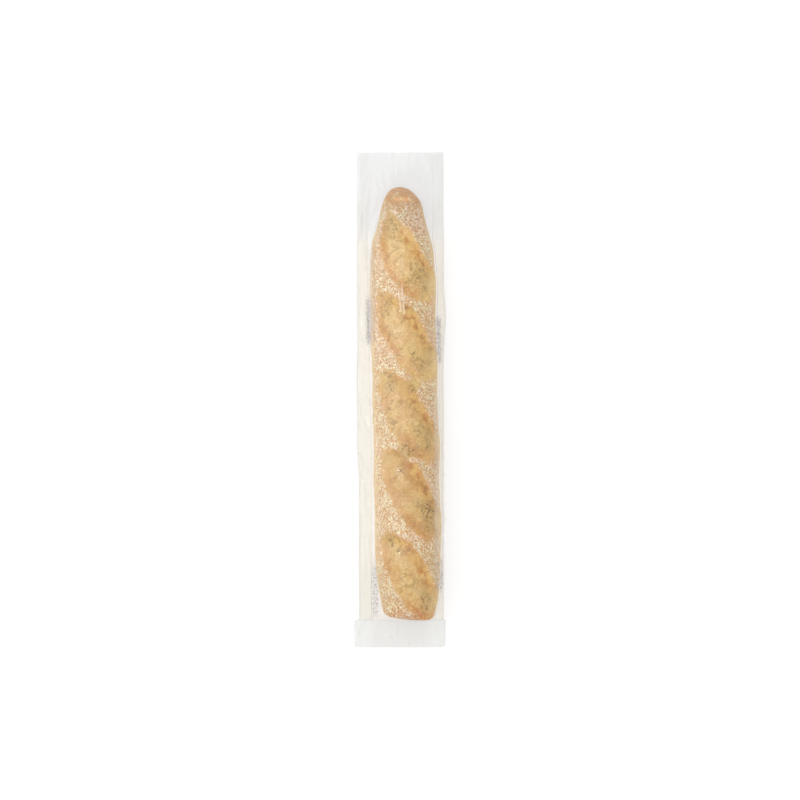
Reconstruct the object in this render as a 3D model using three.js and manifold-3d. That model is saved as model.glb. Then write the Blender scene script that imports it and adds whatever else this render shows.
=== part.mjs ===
// A scored baguette lying in a clear gusseted bread bag.
// Millimetres, +Z up. The loaf lies along Y with its pointed tip towards +Y, on the plane z = 0.
// The origin is the centre of the bag's footprint.
import * as THREE from "three";
import { mergeVertices } from "three/addons/utils/BufferGeometryUtils.js";
import Module from "manifold-3d";

// ---- Driving dimensions ----

// Loaf
const LOAF_LENGTH = 446;
const LOAF_WIDTH = 67;
const LOAF_HEIGHT = 45;
const TIP_Y = 220.5; // where the pointed tip ends
const WIDEST_Z = 17; // height of the widest line above the loaf's own base
const WIDEST_SHARE = 0.4; // and at most this share of the height, near the ends
const HEIGHT_TAPER = 0.85; // the height narrows a little less than the width towards the ends
const END_TAPER = 100; // both ends narrow as a quarter ellipse of this length
const TAIL_SHORT = 28; // the blunt tail stops this far short of a full point
const TAIL_FILLET = 7; // rounding between the tail's flat end and the sides
const TAIL_SKEW = 0.08; // slope of the tail's end face across the loaf
const SKEW_REACH = 60; // the slope has faded out this far up the loaf
const TIP_LIFT = 7; // the pointed end turns up off the surface by this much
const TIP_LIFT_REACH = 45;
const TIP_THICKNESS = 4;
const TIP_BLUNT = 0.4; // the last ring stops this far short of the point
const TAIL_LIFT = 2;
const TAIL_LIFT_REACH = 25;
const ROUND_TOP = 2.1; // superellipse exponents of the upper and lower outline
const ROUND_BASE = 3.2;
const BASE_FLAT = 1.06; // the lower outline overshoots the base by this and is cut flat
const LEAN = 3.6; // sideways sweep of the centreline to each side of its middle
const CENTRE_X = 5.2; // the loaf lies nearer the bag's right edge

// Scores: five slanting cuts that opened in the oven, each with a lifted right lip. The side is
// the distance of a cut's middle to the right of the top line.
const CUT_SLANT = THREE.MathUtils.degToRad(22);
const CUT_HALF_LENGTH = 49;
const CUT_HALF_WIDTH = 17.8;
const CUT_BLUNTNESS = 2.3; // superellipse exponent of a cut's outline
const CUT_BEND = 3; // sideways bend of a cut's two ends
const CUT_STEP_RIGHT = 2.6; // depth of the floor under the lifted lip
const CUT_STEP_LEFT = 1.4;
const LIP_RISE = 1.2;
const LIP_REACH = 4; // how far back from the cut the lip fades into the skin
const CUT_BELLY = 1.2; // how far the floor of a cut swells back up in its middle
const CUTS = [
  { y: 144.5, side: 1.4 },
  { y: 64.5, side: 0.6 },
  { y: -17, side: 1.8 },
  { y: -98, side: 3.6 },
  { y: -181, side: 1 },
];

// Bag: polypropylene film, drawn thicker than its real 0.04 so that it is a solid
const BAG_LENGTH = 513;
const FILM = 0.4;
const SEAL_WIDTH = 95; // across the flat, sealed bottom end
const SEAL_LENGTH = 27;
const SEAL_THICKNESS = 0.8;
const BODY_WIDTH = 90; // across the bag where the loaf fills it
const MOUTH_HEIGHT = 12;
const MOUTH_ARCH = 0.5; // how much of a quarter turn the open mouth's upper lip arches
const CREASE_HEIGHT = 30; // the front panel's side creases stand this high beside the loaf
const CREASE_AT_TAIL = 20;
const CREASE_AT_MOUTH = 8;
const CREASE_RISE_REACH = 60; // the creases reach their height this far up the loaf
const CREASE_SINK_REACH = 110; // and start to sink again this far before its tip
const CLEAR = 0.3; // loaf to film
const LIP_ROOM = 1.4; // extra height over the loaf for the lifted lips of the scores

// Facets
const AROUND_LOAF = 42;
const ALONG_LOAF = 64;
const END_CROWDING = 0.11; // rings of the loaf stand closer together towards both ends
const ROOF_SAMPLES = 12; // on each side of the loaf's top line, to stretch the film over
const ROOF_POINTS = 27; // round one ring of the bag, over the loaf
const FLOOR_POINTS = 5; // and below it

const TAIL_Y = TIP_Y - LOAF_LENGTH;
const LOAF_BASE = FILM + CLEAR;
const MEAN_RADIUS = (LOAF_WIDTH + LOAF_HEIGHT) / 4;
const MOUTH_Y = BAG_LENGTH / 2;
const SEAL_END_Y = -BAG_LENGTH / 2;
const SEAL_START_Y = SEAL_END_Y + SEAL_LENGTH;

const { clamp, lerp, smoothstep } = THREE.MathUtils;

// Rings of the bag stand closer together at the loaf's ends, where the film bends most
const BAG_STATIONS = [
  ...spaced(SEAL_START_Y, TAIL_Y + 50, 7),
  ...spaced(TAIL_Y + 50, TIP_Y - 70, 10),
  ...spaced(TIP_Y - 70, TIP_Y + 6, 13),
  ...spaced(TIP_Y + 6, MOUTH_Y, 4),
  MOUTH_Y,
];

function spaced(from, to, count) {
  return Array.from({ length: count }, (_, step) => lerp(from, to, step / count));
}

// ---- Loaf ----

// 0 at the point of a quarter-elliptical end, 1 from END_TAPER inwards
function endTaper(distance) {
  const short = clamp(1 - distance / END_TAPER, 0, 1);
  return Math.sqrt(1 - short * short);
}

function centreline(y) {
  return CENTRE_X - LEAN * Math.sin((Math.PI * y) / (LOAF_LENGTH + 50));
}

// How much a round-over of TAIL_FILLET takes off each side near the tail's end face
function tailInset(y) {
  const left = clamp(1 - (y - TAIL_Y) / TAIL_FILLET, 0, 1);
  return TAIL_FILLET * (1 - Math.sqrt(1 - left * left));
}

// The plain cross-section at y: half width, base and top heights, and centre
function loafSection(y) {
  const fill = endTaper(TIP_Y - y) * endTaper(y - TAIL_Y + TAIL_SHORT);
  const inset = tailInset(y);
  const tipLift = TIP_LIFT * clamp(1 - (TIP_Y - y) / TIP_LIFT_REACH, 0, 1) ** 2;
  const tailLift = TAIL_LIFT * clamp(1 - (y - TAIL_Y) / TAIL_LIFT_REACH, 0, 1) ** 2;
  return {
    centre: centreline(y),
    halfWidth: (LOAF_WIDTH / 2) * fill - inset,
    base: LOAF_BASE + tipLift + tailLift + inset,
    top: LOAF_BASE + Math.max(tipLift + TIP_THICKNESS, LOAF_HEIGHT * fill ** HEIGHT_TAPER) - inset,
  };
}

// A point of the cross-section; turn is the angle from straight up, positive to the right
function sectionPoint(section, turn, grow = 0) {
  const { centre, halfWidth, base, top } = section;
  const waist = base + Math.min(WIDEST_Z, WIDEST_SHARE * (top - base));
  const across = Math.sin(turn);
  const up = Math.cos(turn);
  const power = 2 / (up > 0 ? ROUND_TOP : ROUND_BASE);
  const x = Math.sign(across) * Math.abs(across) ** power;
  const rise = up > 0 ? top - waist : (waist - base) * BASE_FLAT;
  const z = waist + rise * Math.sign(up) * Math.abs(up) ** power;
  return new THREE.Vector2(
    centre + x * (halfWidth + grow),
    Math.max(z, base) + Math.sign(up) * grow,
  );
}

// Relief of the scores, outwards, at a distance u round the loaf from its top line
function scoreRelief(u, y) {
  let relief = 0;
  for (const cut of CUTS) {
    const down = cut.y - y;
    const bend = CUT_BEND * clamp(down / CUT_HALF_LENGTH, -1.2, 1.2) ** 3;
    const right = u - cut.side - bend;
    const along = (right * Math.sin(CUT_SLANT) + down * Math.cos(CUT_SLANT)) / CUT_HALF_LENGTH;
    const across = (right * Math.cos(CUT_SLANT) - down * Math.sin(CUT_SLANT)) / CUT_HALF_WIDTH;
    const power = CUT_BLUNTNESS;
    // 0 in the middle of the cut, 1 on its outline
    const out = (Math.abs(along) ** power + Math.abs(across) ** power) ** (1 / power);
    if (out < 1) {
      const step = lerp(CUT_STEP_LEFT, CUT_STEP_RIGHT, clamp((across + 1) / 2, 0, 1));
      relief -= step * (1 - CUT_BELLY * (1 - out * out));
    } else if (across > 0) {
      const back = ((out - 1) * CUT_HALF_WIDTH) / LIP_REACH;
      relief += LIP_RISE * Math.exp(-back * back);
    }
  }
  return relief;
}

function makeLoaf() {
  const geometry = new THREE.CylinderGeometry(1, 1, 1, AROUND_LOAF, ALONG_LOAF);
  const position = geometry.attributes.position;
  for (let i = 0; i < position.count; i++) {
    const share = position.getY(i) + 0.5;
    const eased = share - END_CROWDING * Math.sin(2 * Math.PI * share);
    const y = lerp(TAIL_Y, TIP_Y - TIP_BLUNT, eased);
    const radius = Math.hypot(position.getX(i), position.getZ(i));
    const turn = Math.atan2(position.getX(i), position.getZ(i));
    const section = loafSection(y);
    const point = sectionPoint(section, turn);
    const middle = new THREE.Vector2(section.centre, (section.base + section.top) / 2);
    const outwards = point.clone().sub(middle).normalize();
    const relief = Math.abs(turn) < Math.PI / 2 ? scoreRelief(turn * MEAN_RADIUS, y) : 0;
    point.addScaledVector(outwards, relief);
    point.lerpVectors(middle, point, Math.min(radius, 1));
    const skew = TAIL_SKEW * (point.x - section.centre) * clamp(1 - (y - TAIL_Y) / SKEW_REACH, 0, 1);
    position.setXYZ(i, point.x, y - skew, point.y);
  }
  return geometry;
}

// ---- Bag ----

// The stretched sheet over some points, from the leftmost to the rightmost: their upper hull
function tautOver(points) {
  const sheet = [];
  for (const p of points.sort((a, b) => a.x - b.x)) {
    while (sheet.length > 1) {
      const [a, b] = sheet.slice(-2);
      if (b.clone().sub(a).cross(p.clone().sub(b)) < 0) break;
      sheet.pop();
    }
    sheet.push(p);
  }
  return sheet;
}

// Height of the front panel's side creases at y
function creaseHeight(y) {
  const risen = lerp(CREASE_AT_TAIL, CREASE_HEIGHT, smoothstep(y, SEAL_START_Y, TAIL_Y + CREASE_RISE_REACH));
  return lerp(risen, CREASE_AT_MOUTH, smoothstep(y, TIP_Y - CREASE_SINK_REACH, MOUTH_Y));
}

// One ring of the film's inner face at y, from the left crease over the loaf and back below it
function innerRing(y) {
  const half = BODY_WIDTH / 2 - FILM;
  const section = loafSection(clamp(y, TAIL_Y, TIP_Y - TIP_BLUNT));
  // past the tip the sheet sinks to the height of the open mouth
  const past = smoothstep(y, TIP_Y, MOUTH_Y);
  const crease = creaseHeight(y);
  const roof = [new THREE.Vector2(-half, crease), new THREE.Vector2(half, crease)];
  for (let step = -ROOF_SAMPLES; step <= ROOF_SAMPLES; step++) {
    const turn = (step / ROOF_SAMPLES) * (Math.PI / 2);
    const overLoaf = sectionPoint(section, turn, CLEAR + LIP_ROOM);
    const open = new THREE.Vector2((turn / 2) * half, MOUTH_HEIGHT * Math.cos(turn * MOUTH_ARCH));
    roof.push(overLoaf.lerp(open, past));
  }
  const over = new THREE.Path(tautOver(roof)).getSpacedPoints(ROOF_POINTS - 1);
  const right = new THREE.Vector2(half, FILM);
  const left = new THREE.Vector2(-half, FILM);
  const floorPoint = (_, step) => right.clone().lerp(left, step / (FLOOR_POINTS - 1));
  return [...over, ...Array.from({ length: FLOOR_POINTS }, floorPoint)];
}

// The ring moved outwards by the film's thickness, with mitred corners
function outerRing(ring) {
  return ring.map((point, i) => {
    const before = ring.at(i - 1);
    const after = ring[(i + 1) % ring.length];
    const a = new THREE.Vector2(before.y - point.y, point.x - before.x).normalize();
    const b = new THREE.Vector2(point.y - after.y, after.x - point.x).normalize();
    return point.clone().addScaledVector(a.clone().add(b), FILM / (1 + a.dot(b)));
  });
}

// A tube closed at the seal and open at the mouth. Down the cylinder's rows run first its inner
// face, from the seal to the mouth, and then its outer face, from the mouth to the seal.
function filmTube() {
  const around = ROOF_POINTS + FLOOR_POINTS;
  const inner = BAG_STATIONS.map(innerRing);
  const rings = [...inner, ...inner.map(outerRing).reverse()];
  const geometry = new THREE.CylinderGeometry(1, 1, 1, around, rings.length - 1);
  const position = geometry.attributes.position;
  for (let i = 0; i < position.count; i++) {
    const row = Math.round((0.5 - position.getY(i)) * (rings.length - 1));
    const isInner = row < inner.length;
    const station = isInner ? row : rings.length - 1 - row;
    const isSealEnd = isInner && station === 0;
    const y = BAG_STATIONS[station] + (isSealEnd ? FILM : 0);
    const turn = Math.atan2(position.getX(i), position.getZ(i)) / (2 * Math.PI);
    const point = rings[row].at(Math.round(turn * around) % around);
    const isCentre = Math.hypot(position.getX(i), position.getZ(i)) < 0.5;
    position.setXYZ(i, isCentre ? 0 : point.x, y, isCentre ? CREASE_AT_TAIL / 2 : point.y);
  }
  return geometry;
}

// The flat sealed strip below the loaf's blunt end
function sealStrip() {
  const length = SEAL_LENGTH + FILM;
  const strip = new THREE.BoxGeometry(SEAL_WIDTH, length, SEAL_THICKNESS);
  return strip.translate(0, SEAL_END_Y + length / 2, SEAL_THICKNESS / 2);
}

const wasm = await Module();
wasm.setup();

// A closed three.js geometry as a solid
function toSolid(geometry) {
  const bare = geometry.clone();
  bare.deleteAttribute("normal");
  bare.deleteAttribute("uv");
  const merged = mergeVertices(bare, 1e-4);
  return new wasm.Manifold(
    new wasm.Mesh({
      numProp: 3,
      vertProperties: new Float32Array(merged.attributes.position.array),
      triVerts: new Uint32Array(merged.index.array),
    }),
  );
}

function toGeometry(solid) {
  const mesh = solid.getMesh();
  const geometry = new THREE.BufferGeometry();
  geometry.setAttribute("position", new THREE.BufferAttribute(mesh.vertProperties, 3));
  geometry.setIndex(new THREE.BufferAttribute(mesh.triVerts, 1));
  geometry.computeVertexNormals();
  return geometry;
}

function makeBag() {
  return toGeometry(toSolid(filmTube()).add(toSolid(sealStrip())));
}

// ---- Assembly ----

const crust = new THREE.MeshStandardMaterial({ color: 0xd9b480, roughness: 0.75, metalness: 0 });
const clearFilm = new THREE.MeshStandardMaterial({
  color: 0xf2f1ee,
  roughness: 0.18,
  metalness: 0,
  transparent: true,
  opacity: 0.3,
});

const loaf = new THREE.Mesh(makeLoaf(), crust);
loaf.name = "loaf";

const bag = new THREE.Mesh(makeBag(), clearFilm);
bag.name = "bag";

const baguette = new THREE.Group();
baguette.add(loaf, bag);

export default baguette;
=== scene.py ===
"""A scored baguette in a clear bread bag, lying on a pale table and seen from straight above."""

import math

import bpy
import numpy as np
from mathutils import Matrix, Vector, noise


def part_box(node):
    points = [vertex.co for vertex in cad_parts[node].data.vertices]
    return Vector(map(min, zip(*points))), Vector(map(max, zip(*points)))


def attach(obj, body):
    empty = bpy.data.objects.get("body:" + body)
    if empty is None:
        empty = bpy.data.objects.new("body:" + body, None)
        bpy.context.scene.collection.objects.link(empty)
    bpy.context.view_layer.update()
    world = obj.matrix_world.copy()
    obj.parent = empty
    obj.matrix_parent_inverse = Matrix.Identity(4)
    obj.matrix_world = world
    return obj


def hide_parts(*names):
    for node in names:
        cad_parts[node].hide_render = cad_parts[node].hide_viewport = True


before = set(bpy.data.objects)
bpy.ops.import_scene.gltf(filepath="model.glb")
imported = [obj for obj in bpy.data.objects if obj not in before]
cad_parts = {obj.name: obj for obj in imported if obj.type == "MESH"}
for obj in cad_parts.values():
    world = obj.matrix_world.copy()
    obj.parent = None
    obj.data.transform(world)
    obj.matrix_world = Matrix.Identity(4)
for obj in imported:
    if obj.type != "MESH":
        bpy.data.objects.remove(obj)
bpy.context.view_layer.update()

# ---- Camera ----
# A stand camera looks straight down on the bag, with the loaf's pointed tip at the top of the
# picture and plain table all round.

MM = 0.001
LENS = 120
SENSOR = 36
# The view is this wide, at this height above the table
VIEW_WIDTH = 827 * MM
VIEW_HEIGHT = 10 * MM
# The most layers of clear film that light passes straight through
FILM_LAYERS = 32

camera_data = bpy.data.cameras.new("camera")
camera_data.lens = LENS
camera_data.sensor_width = SENSOR
camera = bpy.data.objects.new("camera", camera_data)
camera.location = (0, 0, VIEW_HEIGHT + VIEW_WIDTH * LENS / SENSOR)
bpy.context.collection.objects.link(camera)
bpy.context.scene.camera = camera
bpy.context.scene.view_settings.view_transform = "Standard"
bpy.context.scene.cycles.transparent_max_bounces = FILM_LAYERS


# ---- Table ----
# A plain white light table, matt and wider than the view. It isn't part of the baguette.


class Value:
    """The output of a node. Arithmetic on it adds Math nodes."""

    def __init__(self, finish, socket):
        self.finish = finish
        self.socket = socket

    def math(self, operation, *numbers, clamp=False):
        settings = {"operation": operation, "use_clamp": clamp}
        return self.finish.node("Math", settings, dict(enumerate(numbers)))

    def __add__(self, other):
        return self.math("ADD", self, other)

    def __sub__(self, other):
        return self.math("SUBTRACT", self, other)

    def __rsub__(self, other):
        return self.math("SUBTRACT", other, self)

    def __mul__(self, other):
        return self.math("MULTIPLY", self, other)

    def __truediv__(self, other):
        return self.math("DIVIDE", self, other)

    def __pow__(self, other):
        return self.math("POWER", self, other)

    __radd__ = __add__
    __rmul__ = __mul__

    def clamped(self):
        return self.math("ADD", self, 0.0, clamp=True)

    def between(self, low, high):
        """0 below low, 1 above high, and smooth between them. High may be the lower one."""
        settings = {"interpolation_type": "SMOOTHSTEP"}
        return self.finish.node("MapRange", settings, {0: self, 1: low, 2: high, 3: 0.0, 4: 1.0})


class Finish:
    """A material made of nodes."""

    def __init__(self, name):
        self.material = bpy.data.materials.new(name)
        self.material.use_nodes = True
        self.tree = self.material.node_tree
        self.tree.nodes.clear()

    def node(self, kind, settings, inputs, out=0):
        """The output of a new node, with its settings and the values or links of its sockets."""
        node = self.tree.nodes.new("ShaderNode" + kind)
        for name, setting in settings.items():
            setattr(node, name, setting)
        for name, value in inputs.items():
            if isinstance(value, Value):
                self.tree.links.new(value.socket, node.inputs[name])
            else:
                node.inputs[name].default_value = value
        return Value(self, node.outputs[out])

    def blend(self, share, first, second):
        """The first colour where share is 0, the second where it is 1."""
        return self.node("Mix", {"data_type": "RGBA"}, {0: share, 6: first, 7: second}, out=2)

    def attribute(self, name):
        return self.node("Attribute", {"attribute_name": name}, {}, out="Fac")

    def noise(self, place, per_metre, detail=2.0):
        return self.node("TexNoise", {}, {"Vector": place, "Scale": per_metre, "Detail": detail})

    def bent(self, place, per_metre, reach):
        """Places pushed about by noise, up to a reach in metres, so that a pattern isn't regular."""
        drift = self.noise(place, per_metre)
        push = self.node("VectorMath", {"operation": "SCALE"}, {0: drift, "Scale": reach})
        return self.node("VectorMath", {"operation": "ADD"}, {0: place, 1: push})

    def dots(self, place, per_metre, largest):
        """1 in round dots, one to a cell, each of its own size up to a share of its cell."""
        cells = {"Vector": place, "Scale": per_metre}
        distance = self.node("TexVoronoi", {}, cells, out="Distance")
        luck = self.node("TexVoronoi", {}, cells, out="Color")
        return (luck * largest - distance).between(-0.04, 0.08)

    def surface(self, shader):
        output = self.tree.nodes.new("ShaderNodeOutputMaterial")
        self.tree.links.new(shader.socket, output.inputs["Surface"])
        return self.material


def tone(red, green, blue):
    """A colour as a display shows it, 0 to 255, in the linear numbers that shaders take."""
    return (*(((c / 255 + 0.055) / 1.055) ** 2.4 for c in (red, green, blue)), 1.0)


def mesh_object(name, points, faces, material):
    """A smooth-shaded object from points in millimetres."""
    mesh = bpy.data.meshes.new(name)
    mesh.from_pydata((np.asarray(points) * MM).tolist(), [], faces)
    mesh.polygons.foreach_set("use_smooth", [True] * len(mesh.polygons))
    mesh.materials.append(material)
    made = bpy.data.objects.new(name, mesh)
    bpy.context.collection.objects.link(made)
    return made


TABLE_REACH = 15000

white = Finish("white table")
table_top = white.node(
    "BsdfPrincipled",
    {},
    {
        "Base Color": (0.35, 0.35, 0.35, 1),
        "Roughness": 0.9,
        "Specular IOR Level": 0.1,
        "Emission Color": (1, 1, 1, 1),
        "Emission Strength": 0.665,
    },
)
corners = [(x * TABLE_REACH, y * TABLE_REACH, 0) for x, y in ((-1, -1), (1, -1), (1, 1), (-1, 1))]
table = mesh_object("table", corners, [(0, 1, 2, 3)], white.surface(table_top))


# ---- Loaf ----
# A lean wheat dough, rolled to a point at one end, slashed five times aslant and baked on a flat
# tray. Each slash has opened to a pale, strained floor, with its right lip lifted to an ear.

loaf_low, loaf_high = (np.array(corner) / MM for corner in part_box("loaf"))
LOAF_HALF_WIDTH = 33.5
LOAF_BASE = loaf_low[2]
LOAF_HEIGHT = 45

# Both ends taper. The tail is blunt, because its taper is cut off short, and it reaches further down
# on its right than on its left
END_TAPER = 100
TAPER_CURVE = 1.95
TAPER_FULLNESS = 0.42
HEIGHT_FULLNESS = 0.85
TAIL_SHORT = 28
TAIL_FILLET = 6
TAIL_HALF_WIDTH = 22
TAIL_SKEW = 0.08
TAIL_SKEW_REACH = 60
TAIL_DOME = 1.4
TAIL_Y = loaf_low[1] + TAIL_SKEW * TAIL_HALF_WIDTH
TIP_Y = loaf_high[1]

# Seen from above the loaf swings a little from side to side, turns left at its tip, and has a neck
# below it. Both ends have lifted off the tray
CENTRE_X = 5.2
SWING = 3.6
SWING_LENGTH = 496
TIP_TURN = 2.5
TIP_TURN_REACH = 16
NECK_DEPTH = 2.6
NECK_FROM_TIP = 38
NECK_REACH = 16
TIP_THICKNESS = 4
TIP_LIFT = 7
TIP_LIFT_REACH = 45
TAIL_LIFT = 2
TAIL_LIFT_REACH = 25


def lumps(points, size, seed):
    """Soft random numbers from about -1 to 1 at each point, with lumps of a size in millimetres."""
    places = np.asarray(points, float) / size + seed * 13.7
    flat = places.reshape(-1, 3)
    return np.array([noise.noise(p) for p in flat.tolist()]).reshape(places.shape[:-1])


def nearness(distance, reach):
    """1 at no distance, falling evenly to 0 at the reach and beyond it."""
    return np.clip(1 - distance / reach, 0, 1)


def end_taper(distance):
    """Share of the full width at a distance from an end."""
    return (1 - nearness(distance, END_TAPER) ** TAPER_CURVE) ** TAPER_FULLNESS


def centreline(y):
    swing = SWING * np.sin(np.pi * y / SWING_LENGTH)
    return CENTRE_X - swing - TIP_TURN * nearness(TIP_Y - y, TIP_TURN_REACH)


def loaf_section(y):
    """Half width, base and top heights and centre of the loaf's plain section at y."""
    fill = end_taper(TIP_Y - y) * end_taper(y - TAIL_Y + TAIL_SHORT)
    inset = TAIL_FILLET * (1 - np.sqrt(1 - nearness(y - TAIL_Y, TAIL_FILLET) ** 2))
    tip_lift = TIP_LIFT * nearness(TIP_Y - y, TIP_LIFT_REACH) ** 2
    tail_lift = TAIL_LIFT * nearness(y - TAIL_Y, TAIL_LIFT_REACH) ** 2
    neck = NECK_DEPTH * np.exp(-(((TIP_Y - y - NECK_FROM_TIP) / NECK_REACH) ** 2))
    top = np.maximum(tip_lift + TIP_THICKNESS, LOAF_HEIGHT * fill**HEIGHT_FULLNESS)
    return (
        LOAF_HALF_WIDTH * fill - inset - neck,
        LOAF_BASE + tip_lift + tail_lift + inset,
        LOAF_BASE + top - inset - 0.5 * neck,
        centreline(y),
    )


# Each slash: its middle along the loaf, how far it sits right of the top line, and how toasted it is
SLASHES = ((144.5, 1.4, 0), (64.5, 0.6, 0.1), (-17, 1.8, 0.5), (-98, 3.6, 1), (-181, 1.0, 0.3))
SLASH_SLANT = math.radians(22)
SLASH_HALF_LENGTH = 49
SLASH_HALF_WIDTH = 17.8
# Its two ends curl opposite ways, it is blunter than an ellipse, and the skin ends in a soft rim
SLASH_CURL = 3
SLASH_BLUNTNESS = 2.3
SLASH_RIM = 6
# The lower part of each slash has opened out to the right, down the side of the loaf
SLASH_FLARE = 0.75
# Two places where the skin between slashes has torn through: right of the top line, and along the loaf
TORN = ((5.8, 14.5), (-0.9, -52.5))
TORN_REACH = 9
TORN_DEPTH = 0.6
# Height of a slash from its middle (0) out to its edge (1) and beyond, on its left and on its right,
# where the crust has lifted to an ear
SLASH_OUT = (0.0, 0.35, 0.62, 0.86, 0.97, 1.05, 1.18, 1.4)
LEFT_HEIGHT = (0.6, 0.3, -0.5, -1.2, -0.2, 0.3, 0.2, 0.0)
RIGHT_HEIGHT = (0.6, 0.5, -0.5, -2.2, 0.6, 1.5, 1.1, 0.0)


def ease(value, low, high):
    """0 at low and 1 at high, smooth between them."""
    share = np.clip((value - low) / (high - low), 0, 1)
    return share * share * (3 - 2 * share)


def slash_marks(around, y):
    """The lift of the surface and the marks that colour it, at places around the loaf and along it.

    The hem is the golden band inside a slash's left edge, the ear the amber one inside its right
    edge, and the floor the two places in a slash where the crumb shows most.
    """
    marks = {mark: 0 * y for mark in ("lift", "hem", "ear", "floor", "toasted")}
    marks["skin"] = 1 + 0 * y
    for middle, side, toasting in SLASHES:
        down = (middle - y) / SLASH_HALF_LENGTH
        right = around - side - SLASH_CURL * np.clip(down, -1.2, 1.2) ** 3
        # From -1 at its upper end to 1 at its lower end, and from -1 at its left edge to 1 at its right
        along = right / SLASH_HALF_LENGTH * math.sin(SLASH_SLANT) + down * math.cos(SLASH_SLANT)
        across = right * math.cos(SLASH_SLANT) - down * SLASH_HALF_LENGTH * math.sin(SLASH_SLANT)
        across /= SLASH_HALF_WIDTH * (1 + SLASH_FLARE * (across > 0) * ease(down, -0.1, 0.55))
        # From 0 in its middle to 1 all along its edge
        blunt = SLASH_BLUNTNESS
        out = (np.abs(along) ** blunt + np.abs(across) ** blunt) ** (1 / blunt)
        on_right = ease(across, -0.25, 0.45)
        left_lift = np.interp(out, SLASH_OUT, LEFT_HEIGHT)
        right_lift = np.interp(out, SLASH_OUT, RIGHT_HEIGHT)
        marks["lift"] = marks["lift"] + left_lift + (right_lift - left_lift) * on_right
        inside = np.clip((1 - out) * SLASH_HALF_WIDTH / SLASH_RIM + 0.5, 0, 1)
        marks["skin"] = marks["skin"] * (1 - inside)
        marks["toasted"] = np.maximum(marks["toasted"], (out < 1.3) * toasting)
        marks["hem"] = np.maximum(marks["hem"], inside * ease(out, 0.45, 0.85) * (1 - on_right))
        under_ear = ease(across, -0.05, 0.4) * ease(along, 0.7, 0.3)
        marks["ear"] = np.maximum(marks["ear"], inside * ease(out, 0.2, 0.62) * under_ear)
        upper_left = ease(np.abs(along + 0.72), 0.35, 0.1) * ease(np.abs(across + 0.1), 0.8, 0.2)
        lower_right = ease(np.abs(along - 0.5), 0.5, 0.15) * ease(np.abs(across - 0.25), 0.55, 0.1)
        marks["floor"] = np.maximum(marks["floor"], inside * np.maximum(upper_left, lower_right))
    for side, middle in TORN:
        torn = ease(np.hypot((around - side) / TORN_REACH, (y - middle) / TORN_REACH), 1, 0.5)
        marks["skin"] = marks["skin"] * (1 - torn)
        marks["floor"] = np.maximum(marks["floor"], torn)
        marks["lift"] = marks["lift"] - TORN_DEPTH * torn
    return marks


# Rings of points: across the flat tail end, over its rounded rim, and on to the tip
AROUND = 176
END_RINGS = 9
RIM_RINGS = 12
NOSE_RINGS = 18
RIM_DEPTH = 10
NOSE_DEPTH = 16
RING_STEP = 1.08

rim = np.linspace(0, 1, RIM_RINGS, endpoint=False) ** 1.6 * RIM_DEPTH
nose = NOSE_DEPTH * (1 - np.cos(np.linspace(np.pi / 2, 0.05, NOSE_RINGS)))
ring_y = np.concatenate(
    [
        np.full(END_RINGS, TAIL_Y),
        TAIL_Y + rim,
        np.arange(TAIL_Y + RIM_DEPTH, TIP_Y - NOSE_DEPTH, RING_STEP),
        TIP_Y - nose,
    ]
)
ring_fill = np.concatenate([np.linspace(0.02, 0.93, END_RINGS), np.ones(len(ring_y) - END_RINGS)])

# The section is nearly an ellipse above its waist and squarer below it, where it sank onto the tray
WAIST = 17
WAIST_SHARE = 0.4
TOP_SQUARENESS = 2.1
BASE_SQUARENESS = 3.2
SINK = 1.06

# The angle round the loaf, from its top
turn = np.linspace(-np.pi, np.pi, AROUND, endpoint=False)
sideways, upright = np.sin(turn), np.cos(turn)
Y, _ = np.meshgrid(ring_y, turn, indexing="ij")
half_width, base, top, centre = (part[:, None] for part in loaf_section(ring_y))
waist = base + np.minimum(WAIST, WAIST_SHARE * (top - base))
power = np.where(upright > 0, 2 / TOP_SQUARENESS, 2 / BASE_SQUARENESS)
reach = np.sign(sideways) * np.abs(sideways) ** power
rise = np.where(upright > 0, top - waist, (waist - base) * SINK)
X = centre + half_width * reach
Z = np.maximum(waist + rise * np.sign(upright) * np.abs(upright) ** power, base)
middle_z = (base + top) / 2
plain = np.stack([X, Y, Z], axis=-1)

# The slashes' edges wander, the whole loaf is a little uneven, and the torn crumb in the slashes is
# rougher than the skin. The base is flat from the tray
mean_radius = (LOAF_HALF_WIDTH + LOAF_HEIGHT / 2) / 2
wander = 2.2 * lumps(plain, 15, 1) + 1.8 * lumps(plain, 6.5, 2) + 0.7 * lumps(plain, 2.8, 10)
marks = slash_marks(turn * mean_radius + 0 * Y + wander, Y + 2.5 * lumps(plain, 17, 3))
top_only = np.clip((upright + 0.25) * 4, 0, 1)
under = np.clip((-upright - 0.55) * 5, 0, 1) + 0 * Y
crumb = 1 - marks["skin"]
lift = marks["lift"] * top_only
lift += 0.9 * lumps(plain, 34, 4) + 0.45 * lumps(plain, 11, 5)
rough = (0.16 + 0.3 * crumb) * lumps(plain, 2.6, 6)
rough += 0.6 * crumb * lumps(plain * (1.6, 0.6, 1.6), 4.5, 7)
rough += 0.7 * crumb * lumps(plain, 10, 16)
lift = lift * (1 - under) + rough * (1 - 0.7 * under)

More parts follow.
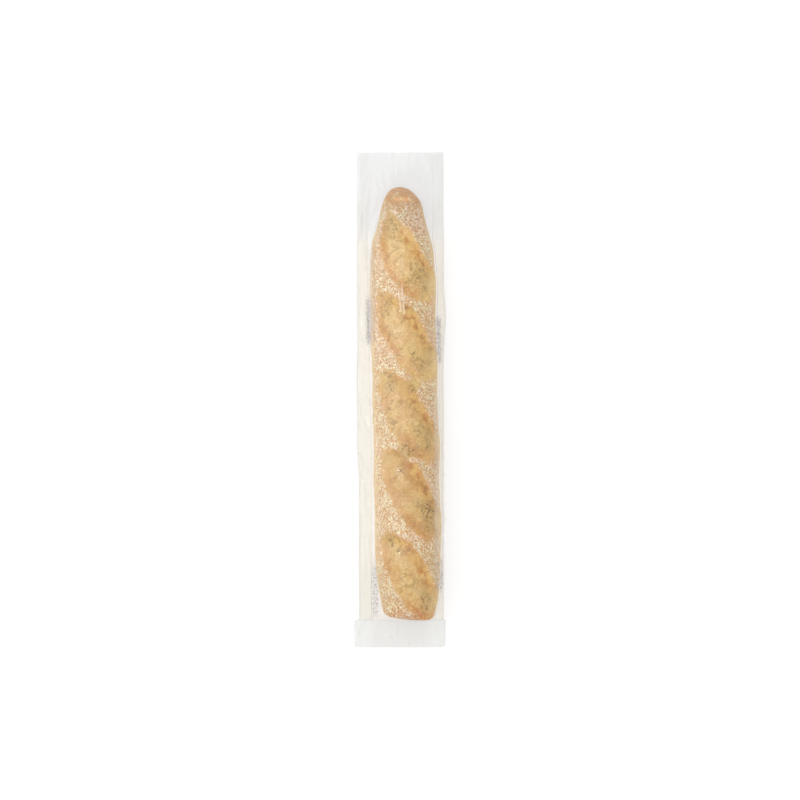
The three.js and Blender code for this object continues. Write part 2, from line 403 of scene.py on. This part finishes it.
outwards = np.stack([X - centre, 0 * Y, Z - middle_z], axis=-1)
outwards /= np.linalg.norm(outwards, axis=-1, keepdims=True) + 1e-6
points = plain + outwards * lift[..., None]
middle = np.stack([centre + 0 * Y, Y, middle_z + 0 * Y], axis=-1)
fill = ring_fill[:, None, None]
points = middle + (points - middle) * fill
dome = TAIL_DOME * (1 - ring_fill**2)[:, None] + 0.5 * lumps(points, 6, 8) * (ring_fill < 1)[:, None]
skew = TAIL_SKEW * (points[..., 0] - centre) * nearness(Y - TAIL_Y, TAIL_SKEW_REACH)
points[..., 1] -= skew + dome
points[..., 2] = np.maximum(points[..., 2], LOAF_BASE)


def tube_faces(rings, around):
    """Quads between neighbouring rings of points, each ring closed on itself."""
    index = np.arange(rings * around).reshape(rings, around)
    after = np.roll(index, -1, axis=1)
    quads = np.stack([index[:-1], after[:-1], after[1:], index[1:]], axis=-1)
    return quads.reshape(-1, 4).tolist()


rings = len(ring_y)
loaf_faces = [face[::-1] for face in tube_faces(rings, AROUND)]
loaf_faces.append(list(range(AROUND)))
loaf_faces.append(list(range((rings - 1) * AROUND, rings * AROUND))[::-1])

# The marks that slash_marks makes, how low a point lies, and how near it is to either end
CRUST_MARKS = ("skin", "hem", "ear", "floor", "toasted", "low", "tip", "tail")


def crust():
    """Baked crust: golden skin with pale blistering and painted glints, paler down the sides partly as
    painted light, and slashes with amber edges and a pale, pored floor, painted dark as shade in its
    pits.
    """
    bake = Finish("baked crust")
    place = bake.node("TexCoord", {}, {}, out="Object")
    skin, hem, ear, floor, toasted, low, tip, tail = (bake.attribute(mark) for mark in CRUST_MARKS)

    # The bake's unevenness, from patches a few centimetres wide down to single grains
    broad = bake.noise(place, 28, 3)
    patches = bake.noise(place, 75, 4)
    mottle = bake.noise(place, 140, 4)
    specks = bake.noise(place, 420, 2)
    grain = bake.noise(place, 900, 3)
    uneven = bake.bent(place, 380, 0.0005)
    creased = bake.bent(place, 90, 0.02)
    upper = low.between(0.55, 0.15)
    sides = low.between(0.0, 0.5)

    # The opened slash: pale and stretched, with an amber ear and hem and a browner, toasted stretch
    opened = bake.blend(mottle.between(0.35, 0.65), tone(220, 178, 106), tone(238, 206, 142))
    gold = bake.blend(broad.between(0.4, 0.6), tone(217, 161, 94), tone(209, 143, 72))
    opened = bake.blend(hem * broad.between(0.35, 0.55) * mottle.between(0.2, 0.5), opened, gold)
    amber = bake.blend(mottle.between(0.42, 0.64), tone(242, 204, 126), tone(208, 142, 62))
    opened = bake.blend(ear * mottle.between(0.15, 0.4), opened, amber)
    opened = bake.blend(patches.between(0.48, 0.6) * (1 - ear) * 0.35, opened, tone(216, 168, 118))
    opened = bake.blend(grain.between(0.47, 0.54) * 0.5, opened, tone(202, 160, 98))
    opened = bake.blend(specks.between(0.5, 0.42) * (1 - ear) * 0.35, opened, tone(246, 220, 166))
    browned = toasted * patches.between(0.3, 0.6) * (ear * 0.4 + 0.35)
    opened = bake.blend(browned, opened, tone(184, 124, 50))

    # Its cracks, and on its floor the fine dark flecks and the pores of the crumb; the dark of the
    # cracks and pores is painted shade in them. Down the side of the loaf it is paler, partly a lighter
    # bake and partly painted light against the shade at the loaf's edges
    web = {"feature": "DISTANCE_TO_EDGE"}
    shaded_cracks = bake.node("TexVoronoi", web, {"Vector": creased, "Scale": 85}, out="Distance")
    shaded_cracks = shaded_cracks.between(0.05, 0.01) * bake.noise(place, 50, 2).between(0.5, 0.6)
    # Painted shade darkens the cracks
    opened = bake.blend(shaded_cracks * 0.4, opened, tone(176, 134, 72))
    crowded = bake.noise(place, 62, 3).between(0.46, 0.58) * (floor * 0.8 + 0.2)
    opened = bake.blend(floor * mottle.between(0.25, 0.6) * 0.4, opened, tone(204, 180, 112))
    opened = bake.blend(crowded * 0.22, opened, tone(196, 164, 98))
    flecks = bake.dots(uneven, 480, 0.7) * crowded
    opened = bake.blend(flecks * 0.6, opened, tone(132, 96, 42))
    pored = bake.noise(place, 45, 2).between(0.48, 0.6) * (0.3 + 0.7 * floor)
    shaded_pores = bake.dots(creased, 260, 0.56) * pored
    # Painted shade darkens the pores
    opened = bake.blend(shaded_pores * 0.85, opened, tone(128, 92, 42))
    # Paler down the sides: partly a lighter bake, partly painted light against the shade at the edges
    opened = bake.blend(sides * 0.7, opened, tone(240, 216, 162))

    # The skin: golden, paler down the sides, partly as painted light, and rosy in patches on top
    plain_skin = bake.blend(mottle.between(0.35, 0.65), tone(220, 171, 110), tone(238, 193, 134))
    plain_skin = bake.blend(specks.between(0.49, 0.57) * 0.7, plain_skin, tone(196, 146, 90))
    plain_skin = bake.blend(grain.between(0.48, 0.54) * 0.55, plain_skin, tone(188, 134, 78))
    plain_skin = bake.blend(sides * 0.65, plain_skin, tone(240, 210, 156))
    rosy = bake.noise(place, 27, 2).between(0.49, 0.6) * upper
    plain_skin = bake.blend(rosy * 0.2, plain_skin, tone(230, 172, 136))

    # Close-set on it are pale, glossy blisters of many sizes, and here and there a larger pearl. Their
    # paleness is partly their own colour and partly painted highlights, the glints of the film and
    # gloss
    blister_and_glint_dots = (bake.dots(uneven, 830, 0.84) + bake.dots(uneven, 600, 0.67)).clamped()
    blister_and_glint_dots = blister_and_glint_dots * (0.7 + 0.3 * mottle.between(0.42, 0.56))
    closed = (skin + (specks - 0.5) * 1.4).between(0.45, 0.6)
    blisters_and_glints = blister_and_glint_dots * broad.between(0.2, 0.36) * closed
    blisters_and_glints = blisters_and_glints * (1 - tip * mottle.between(0.35, 0.5)) * (0.35 + 0.65 * upper)
    blister_and_glint_tone = bake.blend(rosy * 0.6, tone(255, 246, 214), tone(255, 232, 208))
    skinned = bake.blend(blisters_and_glints, plain_skin, blister_and_glint_tone)
    pearls_and_glints = bake.dots(uneven, 290, 0.6) * bake.noise(place, 33, 2).between(0.54, 0.6) * upper
    skinned = bake.blend(pearls_and_glints, skinned, tone(255, 230, 208))
    skinned = bake.blend(tip * mottle.between(0.4, 0.6) * 0.7, skinned, tone(207, 158, 116))

    # Skin and slashes together, with the browner blunt end and the brown base from the hot tray
    skinned_over = (skin + (mottle - 0.5) * 1.2).between(0.3, 0.7)
    colour = bake.blend((skinned_over + blisters_and_glints).clamped(), opened, skinned)
    end_crust = tail * specks.between(0.42, 0.5) * (1 - blisters_and_glints) * 0.75
    colour = bake.blend(end_crust, colour, tone(202, 118, 58))
    tray_brown = bake.blend(mottle, tone(184, 132, 78), tone(160, 106, 58))
    colour = bake.blend(low.between(0.6, 0.9) * 0.85, colour, tray_brown)

    raised = (blisters_and_glints + pearls_and_glints) * skin
    pits = (shaded_pores + flecks * 0.5 + shaded_cracks) * (1 - skin)
    relief = raised * 0.8 + grain * 0.35 - pits
    bump = bake.node("Bump", {}, {"Strength": 0.8, "Distance": 0.0007, "Height": relief}, out="Normal")
    roughness = 0.6 - raised * 0.25 + grain * 0.1
    return bake.surface(
        bake.node(
            "BsdfPrincipled",
            {},
            {"Base Color": colour, "Roughness": roughness, "Normal": bump, "Specular IOR Level": 0.5},
        )
    )


# The tip's browning grows between these distances from it, and the tail's from this distance on
TIP_BROWN = (30, 10)
TAIL_BROWN = 16

# Only the top is slashed. The mark low is 0 on top, 0.5 at the widest place and 1 on the base
marks["skin"] = marks["skin"] * top_only + 1 - top_only
for mark in ("hem", "ear", "floor", "toasted"):
    marks[mark] = marks[mark] * top_only
height_share = (points[..., 2] - base) / (top - base) + 0.06 * lumps(points, 9, 17)
marks["low"] = (ease(height_share, 0.84, 0.44) + ease(height_share, 0.23, 0.05)) / 2
ragged = 1 + 0.6 * lumps(plain, 8, 9)
marks["tip"] = np.clip(ease(TIP_Y - Y, *TIP_BROWN) * ragged, 0, 1)
marks["tail"] = np.clip(ease(Y - TAIL_Y, TAIL_BROWN, 0) * ragged, 0, 1)

loaf = mesh_object("baguette_loaf", points.reshape(-1, 3), loaf_faces, crust())
for mark in CRUST_MARKS:
    layer = loaf.data.attributes.new(mark, "FLOAT", "POINT")
    layer.data.foreach_set("value", marks[mark].ravel())
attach(loaf, "root")
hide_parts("loaf")


# ---- Bag ----
# One tube of clear polypropylene film, 0.04 mm thick, with a gusset folded in along each side. It
# is welded flat below the loaf's blunt end and open above its tip, and its front panel lies
# stretched over the loaf from crease to crease.

bag_low, bag_high = (np.array(corner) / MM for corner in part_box("bag"))
STRIP_END_Y = bag_low[1]
MOUTH_Y = bag_high[1]
STRIP_HALF_WIDTH = bag_high[0]
STRIP_LENGTH = 27
STRIP_CORNER = 4
WELD_Y = STRIP_END_Y + STRIP_LENGTH
FILM_GAP = 0.35
PLY_STEPS = 9
FRONT_STEPS = 74
BACK_STEPS = 26

# Rows of the film run across the bag, close together where it climbs over the loaf's blunt end
CLIMB = 7
CORNER_ROWS = 6
STRIP_ROWS = 12
CLIMB_ROWS = 20
LONG_ROWS = 236

corner_turn = np.linspace(0, np.pi / 2, CORNER_ROWS, endpoint=False)
row_y = np.concatenate(
    [
        STRIP_END_Y + STRIP_CORNER * (1 - np.cos(corner_turn)),
        np.linspace(STRIP_END_Y + STRIP_CORNER, WELD_Y, STRIP_ROWS, endpoint=False),
        np.linspace(WELD_Y, WELD_Y + CLIMB, CLIMB_ROWS, endpoint=False),
        np.linspace(WELD_Y + CLIMB, MOUTH_Y, LONG_ROWS),
    ]
)

# The tube opens just above the weld. Its strip has rounded corners, its edges sway a little, and
# its right edge bulges beside the second slash
OPENING = 3
BULGE = 2.2
BULGE_Y = 88
BULGE_REACH = 20
SWAY = 0.5

opened = ease(row_y, WELD_Y, WELD_Y + OPENING)
rounding = STRIP_CORNER * (1 - np.sqrt(1 - nearness(row_y - STRIP_END_Y, STRIP_CORNER) ** 2))
bulge = BULGE * np.exp(-(((row_y - BULGE_Y) / BULGE_REACH) ** 2))
sway = SWAY * np.array([noise.noise((0.0, y / 45, 2.0)) for y in row_y])

# Rows of the loaf below each row of the film, to find its sides and its height
below = np.clip(np.searchsorted(ring_y[END_RINGS:], row_y), 0, len(ring_y) - END_RINGS - 1) + END_RINGS
top_half = slice(AROUND // 4, 3 * AROUND // 4 + 1)
ridge_x = points[below][:, top_half, 0]
ridge_z = points[below][:, top_half, 2]
has_loaf = (row_y > TAIL_Y - 1) & (row_y < TIP_Y)
loaf_left = np.where(has_loaf, ridge_x.min(axis=1), 0)
loaf_right = np.where(has_loaf, ridge_x.max(axis=1), 0)

# Heights of the plies where they are pressed together in the strip
PRESSED_BACK = 0.12
PRESSED_FOLD = 0.45
PRESSED_FRONT = 0.8
# Height of the front panel's creases: above the pressed strip at the weld and further along the
# loaf, and above the table at the mouth
CREASE_WELD = 19
CREASE_ALONG = 29
CREASE_MOUTH = 8
CREASE_CLIMB = 60
CREASE_FALL = 110
BACK_HEIGHT = 1.6
# How far each edge of the tube is drawn in from the strip's edge by the loaf, the left one more
# towards the tail
LEFT_DRAWN_IN = 3.2
LEFT_TAIL_DRAWN_IN = 2.2
LEFT_TAIL_Y = (-40, -90)
LEFT_ROUNDING = 0.2
RIGHT_DRAWN_IN = 2.2
BACK_INSET = 0.3
# How far each gusset's inner fold is from the middle in the strip and past it. The left one leans in
# towards the tail, and both keep a gap from the loaf
PRESSED_FOLD_X = 28
LEFT_FOLD_Y = (-60, 171)
LEFT_FOLD_X = (-29, -34)
LEFT_FOLD_GAP = 0.5
RIGHT_FOLD_X = 33
RIGHT_FOLD_GAP = 1.5
FOLD_HEIGHT_SHARE = 0.42

crease_rise = (CREASE_ALONG - CREASE_WELD) * ease(row_y, WELD_Y, TAIL_Y + CREASE_CLIMB)
crease_z = PRESSED_FRONT + opened * (CREASE_WELD + crease_rise)
crease_z += (CREASE_MOUTH - crease_z) * ease(row_y, TIP_Y - CREASE_FALL, MOUTH_Y) * opened
left_drawn_in = LEFT_DRAWN_IN + LEFT_TAIL_DRAWN_IN * ease(row_y, *LEFT_TAIL_Y)
left_x = -STRIP_HALF_WIDTH + opened * left_drawn_in + LEFT_ROUNDING * rounding + sway
right_x = STRIP_HALF_WIDTH - opened * RIGHT_DRAWN_IN - rounding + bulge + sway
back_z = PRESSED_BACK + opened * BACK_HEIGHT
fold_left = np.minimum(np.interp(row_y, LEFT_FOLD_Y, LEFT_FOLD_X), loaf_left - LEFT_FOLD_GAP)
fold_left = fold_left * opened - (1 - opened) * PRESSED_FOLD_X
fold_right = np.maximum(RIGHT_FOLD_X, loaf_right + RIGHT_FOLD_GAP)
fold_right = fold_right * opened + (1 - opened) * PRESSED_FOLD_X
fold_z = PRESSED_FOLD + opened * FOLD_HEIGHT_SHARE * crease_z


def run(start, end, steps, bow=0.0):
    """Points across from start to end, without the end, bowed sideways by a distance."""
    share = np.arange(steps) / steps
    line = start[:, None] + (end - start)[:, None] * share[:, None]
    line[..., 0] += np.multiply.outer(np.broadcast_to(bow, len(start)), np.sin(np.pi * share))
    return line


def at(x, z):
    """Points across the bag and up, one for each row."""
    return np.stack([x, z + 0 * x], axis=-1)


front_left, front_right = at(left_x, crease_z), at(right_x, crease_z)
inner_left, inner_right = at(fold_left, fold_z), at(fold_right, fold_z)
back_left, back_right = at(left_x + BACK_INSET, back_z), at(right_x - BACK_INSET, back_z)
front = run(front_left, front_right, FRONT_STEPS)

# The front panel is a stretched skin: each point settles to the mean of its neighbours, but never
# below the loaf. It is looser along the bag than across it, and gapes at the mouth
SETTLINGS = 1500
PULL_ALONG = 0.6
MOUTH_GAPE = 12
GAPE_SHARE = 0.4

step_x = (right_x - left_x)[:, None] / FRONT_STEPS
loaf_z = np.stack(
    [
        np.interp(xs, rx, rz, left=0, right=0) if has else 0 * xs
        for xs, rx, rz, has in zip(front[..., 0], ridge_x, ridge_z, has_loaf)
    ]
)
floor_z = np.maximum(loaf_z + FILM_GAP, np.minimum(PRESSED_FRONT, crease_z)[:, None])
gape = MOUTH_GAPE * np.cos(np.linspace(-1, 1, FRONT_STEPS) * 0.75)
height = np.maximum(floor_z, crease_z[:, None] + 0 * floor_z)
gap_up = np.diff(row_y)[1:, None]
gap_down = np.diff(row_y)[:-1, None]
pull_x = 1 / step_x[1:-1] ** 2
pull_y = PULL_ALONG / (gap_up * gap_down)
for _ in range(SETTLINGS):
    sides = (height[1:-1, :-2] + height[1:-1, 2:]) / 2
    ends = (height[:-2] * gap_up + height[2:] * gap_down) / (gap_up + gap_down)
    settled = (sides * pull_x + ends[:, 1:-1] * pull_y) / (pull_x + pull_y)
    height[1:-1, 1:-1] = np.maximum(settled, floor_z[1:-1, 1:-1])
    height[-1] = height[-2] * (1 - GAPE_SHARE) + gape * GAPE_SHARE
    height[row_y < WELD_Y + 0.1] = PRESSED_FRONT
height[:, 0] = crease_z

# Where it hangs free it has long creases and soft waves, less so at the mouth
loose = ease(height - loaf_z, 0.5, 3) * opened[:, None]
front_points = np.stack([front[..., 0], row_y[:, None] + 0 * height, height], axis=-1)
creases = 1 - 2 * np.abs(lumps(front_points * (1, 0.22, 0.3), 7, 11))
waves = lumps(front_points * (1, 0.35, 1), 19, 12)
loose *= 1 - 0.6 * ease(row_y, TIP_Y, TIP_Y + 20)[:, None]
height += loose * (0.9 * creases * np.abs(creases) + 0.6 * waves)

# The film is crushed in four places where it turns in along the loaf. Each place: its middle across
# and along the bag, and its half length
CRUSHED = ((-31.5, 82, 26), (39, 62, 26), (-25.5, -196, 30), (40.5, -180, 18))
CRUSH_HEIGHT = 1.1


def crushing(x, y):
    """1 in the middle of a crushed place, falling to 0 round it."""
    total = 0 * (x + y)
    for middle_x, middle_y, half_length in CRUSHED:
        near = ease(np.abs(y - middle_y) / half_length, 1.1, 0.7)
        total = np.maximum(total, near * ease(np.abs(x - middle_x), 5, 1.5))
    return total


height += crushing(front[..., 0], row_y[:, None]) * lumps(front_points, 3.5, 14) * CRUSH_HEIGHT

# Two stretch wrinkles run along it between the first two slashes, each from its upper to its lower end
WRINKLES = ((-1.7, 116, 1.4, 86), (1.4, 122, 5.0, 82))
WRINKLE_REACH = 2.2
WRINKLE_HEIGHT = 0.6

# The film along each wrinkle carries a painted cream glint
painted_wrinkle_glint = 0 * height
for upper_x, upper_y, lower_x, lower_y in WRINKLES:
    share = (upper_y - row_y) / (upper_y - lower_y)
    wrinkle_x = upper_x + (lower_x - upper_x) * share
    near = nearness(np.abs(front[..., 0] - wrinkle_x[:, None]), WRINKLE_REACH)
    ridge = np.sin(near * np.pi / 2) ** 2 * ease(np.abs(share - 0.5), 0.55, 0.3)[:, None]
    height += WRINKLE_HEIGHT * ridge
    painted_wrinkle_glint = np.maximum(painted_wrinkle_glint, ridge)
front[..., 1] = height

# Beside the loaf, where a gusset's inner fold lies under the front panel, milky bands of painted shade
# lie on the film. Each place: its middle across and along the bag, and its half width and half length
PAINTED_SHADE_BANDS = ((-31, 108, 3.2, 58), (38, -78, 2.6, 95))

painted_shade_band = 0 * height
for middle_x, middle_y, half_across, half_along in PAINTED_SHADE_BANDS:
    near_across = ease(np.abs(front[..., 0] - middle_x) / half_across, 1.2, 0.7)
    near_along = ease(np.abs(row_y - middle_y) / half_along, 1, 0.75)[:, None]
    painted_shade_band = np.maximum(painted_shade_band, near_across * near_along)

# The whole tube, row by row: the left gusset's two plies, the front panel, the right gusset's two
# plies and the back panel. The plies are crumpled and the right ones bow outwards
crumple = 1.2 * lumps(np.stack([0 * row_y, row_y, 0 * row_y], axis=-1), 9, 13) * opened
ring = np.concatenate(
    [
        run(back_left, inner_left, PLY_STEPS, 0.6 * crumple),
        run(inner_left, front_left, PLY_STEPS, -1.2 * crumple),
        front,
        run(front_right, inner_right, PLY_STEPS, 1.8 * crumple + 1.2 * opened),
        run(inner_right, back_right, PLY_STEPS, 1.4 * crumple + 1.0 * opened),
        run(back_right, back_left, BACK_STEPS),
    ],
    axis=1,
)
columns = ring.shape[1]
bag_y = row_y[:, None] + np.zeros((1, columns))
in_front = slice(2 * PLY_STEPS, 2 * PLY_STEPS + FRONT_STEPS)

# The front panel's lip is drawn back a little from the mouth, unevenly, and the back panel lies flat
LIP = 14
LIP_DRAWN = 0.5

lip = ease(row_y, MOUTH_Y - LIP, MOUTH_Y)[:, None]
ripple = np.array([noise.noise((x, 5.0, 0.0)) for x in np.linspace(0, 9, FRONT_STEPS)])
lip_arch = np.sin(np.linspace(0, np.pi, FRONT_STEPS)) ** 0.5
bag_y[:, in_front] -= lip * (LIP_DRAWN + ripple) * lip_arch
back_share = np.linspace(-1, 1, BACK_STEPS, endpoint=False)
ring[:, -BACK_STEPS:, 1] = PRESSED_BACK + (back_z[:, None] - PRESSED_BACK) * np.abs(back_share) ** 6
bag_points = np.stack([ring[..., 0], bag_y, ring[..., 1]], axis=-1)


def film():
    """Clear glossy film: see-through, a little milky, with fine crinkles that catch the light.

    It is milkier in the welded strip, its middle darkened grey as painted shade below the loaf's end.
    Beside the loaf lie milky bands of painted shade, grey painted shade marks its crushed places and
    folds, and a painted cream glint runs along the stretch wrinkles.
    """
    clear = Finish("clear film")
    place = clear.node("TexCoord", {}, {}, out="Object")
    long_place = clear.node("VectorMath", {"operation": "MULTIPLY"}, {0: place, 1: (1, 0.3, 1)})
    crinkle = clear.noise(long_place, 160, 4)
    fine = clear.noise(place, 420, 3)
    relief = crinkle + fine * 0.35
    bump = clear.node("Bump", {}, {"Strength": 0.5, "Distance": 0.0006, "Height": relief}, out="Normal")
    facing = clear.node("LayerWeight", {}, {"Blend": 0.5, "Normal": bump}, out="Facing")
    front_only = 1 - clear.attribute("ply")
    mirror = 0.02 + front_only * 0.03 + facing**4 * (0.2 + front_only * 0.3)
    weld_and_shade, crush_and_shade, fold_and_shade = (clear.attribute(mark) for mark in ("weld_and_shade", "crush_and_shade", "fold_and_shade"))
    painted_wrinkle_glint, painted_shade_band = (clear.attribute(mark) for mark in ("painted_wrinkle_glint", "painted_shade_band"))
    flecks = crush_and_shade * fine.between(0.5, 0.62)

    # How much light the film sends back: by the mirror of its gloss, and by haze
    # The welded strip's middle is milky, and its grey there is painted shade below the loaf's end
    haze = 0.01 + crinkle.between(0.56, 0.72) * 0.05 * front_only + weld_and_shade * 0.13
    haze = haze + flecks * 0.3 + crush_and_shade * 0.1 + fold_and_shade * 0.1 + painted_shade_band * 0.25 + painted_wrinkle_glint**3 * 0.65
    share = (mirror + haze).clamped()
    # The bands beside the loaf take the same grey-tan: painted shade
    colour = clear.blend((weld_and_shade + painted_shade_band).clamped(), tone(236, 236, 235), tone(212, 206, 198))
    # Grey where the film is crushed or folded is painted shade: dark flecks among the crumples and a
    # dark line along each fold
    colour = clear.blend((flecks + crush_and_shade * 0.6 + fold_and_shade).clamped(), colour, tone(172, 166, 172))
    # A painted cream glint along the stretch wrinkles
    colour = clear.blend(painted_wrinkle_glint, colour, tone(255, 242, 216))
    gloss = clear.node(
        "BsdfPrincipled",
        {},
        {"Base Color": colour, "Metallic": mirror / share, "Roughness": 0.12, "Normal": bump},
    )

    # The rest passes through: clear in the gussets, a little cream in the panels along the loaf as
    # painted warm light bounced off the crust, and grey where the film is slack
    untinted = clear.node("BsdfTransparent", {}, {"Color": (0.995, 0.995, 0.99, 1)})
    bounce_tinted = clear.node("BsdfTransparent", {}, {"Color": (0.99, 0.975, 0.94, 1)})
    greyed = clear.node("BsdfTransparent", {}, {"Color": (0.9, 0.9, 0.9, 1)})
    through = clear.node("MixShader", {}, {0: clear.attribute("loaf_bounce_tint"), 1: untinted, 2: bounce_tinted})
    through = clear.node("MixShader", {}, {0: clear.attribute("slack"), 1: through, 2: greyed})
    return clear.surface(clear.node("MixShader", {}, {0: share, 1: through, 2: gloss}))


# The film turns slack between these distances from the loaf's tip, and the welded strip's milkiness and
# painted shade set in between these distances from the middle of the strip
SLACK_REACH = (75, 30)
WELD_SHADE_REACH = (34, 24)
BEND_TO_SHARP = math.radians(40)

bag = mesh_object("bread_bag", bag_points.reshape(-1, 3), tube_faces(len(row_y), columns), film())
bag.data.set_sharp_from_angle(angle=BEND_TO_SHARP)


def only_front(amount):
    """A mark with an amount on the front panel and none on the rest of the tube."""
    mark = np.zeros((len(row_y), columns))
    mark[:, in_front] = amount
    return mark


column = np.arange(columns)
folds = np.cumsum((0, PLY_STEPS, PLY_STEPS, FRONT_STEPS, PLY_STEPS, PLY_STEPS))
left_plies = column < in_front.start
plies = left_plies | (column >= in_front.stop) & (column < columns - BACK_STEPS)
by_mouth = ease(TIP_Y - row_y, *SLACK_REACH)
slack = (0.2 + 0.58 * by_mouth + 0.15 * (1 - opened))[:, None] * (1 - plies)
# The cream tint along the loaf is painted warm light bounced off the crust
loaf_bounce_tint = ((1 - by_mouth) * opened)[:, None] * np.where(plies, left_plies * 0.2, 1)
film_marks = {
    "painted_wrinkle_glint": only_front(painted_wrinkle_glint),
    "painted_shade_band": only_front(painted_shade_band),
    "ply": plies + 0 * slack,
    "slack": slack,
    "loaf_bounce_tint": loaf_bounce_tint,
    "weld_and_shade": only_front((1 - opened)[:, None] * ease(np.abs(front[..., 0]), *WELD_SHADE_REACH)),
    "crush_and_shade": crushing(ring[..., 0], bag_y),
    "fold_and_shade": np.isin(column, folds) * (opened * (1 - 0.7 * by_mouth))[:, None],
}
for mark, amount in film_marks.items():
    layer = bag.data.attributes.new(mark, "FLOAT", "POINT")
    layer.data.foreach_set("value", amount.ravel())
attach(bag, "root")
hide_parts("bag")


# ---- Light ----
# Plain studio light: a bright room all round, a wide soft box on the left, and a small bulb for
# the glints on the film.

world = bpy.data.worlds.new("room")
world.use_nodes = True
world.node_tree.nodes["Background"].inputs["Color"].default_value = (1, 1, 1, 1)
world.node_tree.nodes["Background"].inputs["Strength"].default_value = 0.8
bpy.context.scene.world = world


def lamp(name, place, size, power):
    """A square lamp that faces the middle of the loaf."""
    data = bpy.data.lights.new(name, "AREA")
    data.size = size
    data.energy = power
    made = bpy.data.objects.new(name, data)
    made.location = place
    made.rotation_euler = (-Vector(place)).to_track_quat("-Z", "Y").to_euler()
    bpy.context.collection.objects.link(made)


lamp("soft box", (-0.9, 0.5, 1.9), size=2.4, power=21)
lamp("bulb", (-0.7, 0.17, 1.5), size=0.07, power=0.4)
